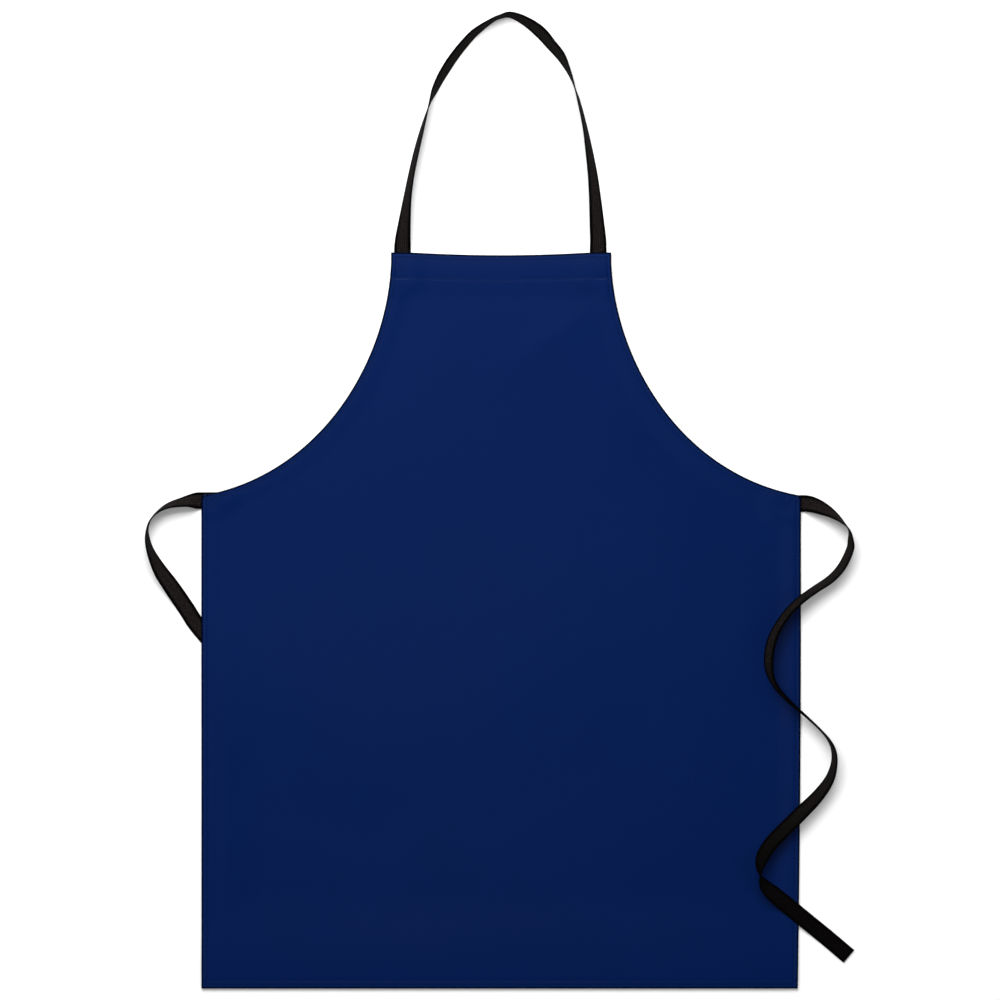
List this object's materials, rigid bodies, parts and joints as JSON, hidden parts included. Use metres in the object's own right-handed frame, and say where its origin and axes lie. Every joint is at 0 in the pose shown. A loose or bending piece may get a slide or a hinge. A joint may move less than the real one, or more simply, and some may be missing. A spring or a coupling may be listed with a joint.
{
  "type": "welding apron",
  "caption": "Navy coated bib apron with turned, stitched hems, a webbing neck loop and webbing waist ties, laid flat on its back; it covers a welder's chest and lap.",
  "frame": {"origin": "middle of the panel's outline, on the surface that the apron lies on", "axes": "+X across the skirt, to the right as seen looking at the front; +Y up the apron towards the bib and the neck loop; +Z out of the front face, up from the surface"},
  "size_m": [0.7208, 0.9925, 0.0225],
  "materials": {
    "coated_leather": "smooth coated leather, satin, fine grain",
    "webbing": "matt black ribbed webbing",
    "thread": "bonded sewing thread, satin"
  },
  "bodies": {
    "apron": {"apron_panel": "coated_leather", "neck_end_left": "webbing", "neck_end_right": "webbing", "tie_end_left": "webbing", "tie_end_right": "webbing", "tie_left_root": "webbing", "tie_right_root": "webbing", "bib_hem_thread": "thread", "bottom_hem_thread": "thread", "right_armhole_thread": "thread", "left_armhole_thread": "thread", "right_side_thread": "thread", "left_side_thread": "thread", "neck_left_box_stitch": "thread", "neck_right_box_stitch": "thread", "tie_left_box_stitch": "thread", "tie_right_box_stitch": "thread"},
    "neck_strap": {"neck_loop": "webbing"},
    "left_tie": {"tie_left_run": "webbing"},
    "right_tie": {"tie_right_run": "webbing"}
  },
  "joints": [
    {"name": "neck_strap_lift", "type": "hinge", "parent": "apron", "child": "neck_strap", "pos_m": [0, 0.3745, 0.0028], "axis": [1, 0, 0], "range_deg": [0, 150]},
    {"name": "left_tie_swing", "type": "hinge", "parent": "apron", "child": "left_tie", "pos_m": [-0.3595, 0.093, 0.008], "axis": [0, 0, -1], "range_deg": [0, 90]},
    {"name": "right_tie_swing", "type": "hinge", "parent": "apron", "child": "right_tie", "pos_m": [0.354, 0.091, 0.008], "axis": [0, 0, 1], "range_deg": [0, 90]}
  ]
}
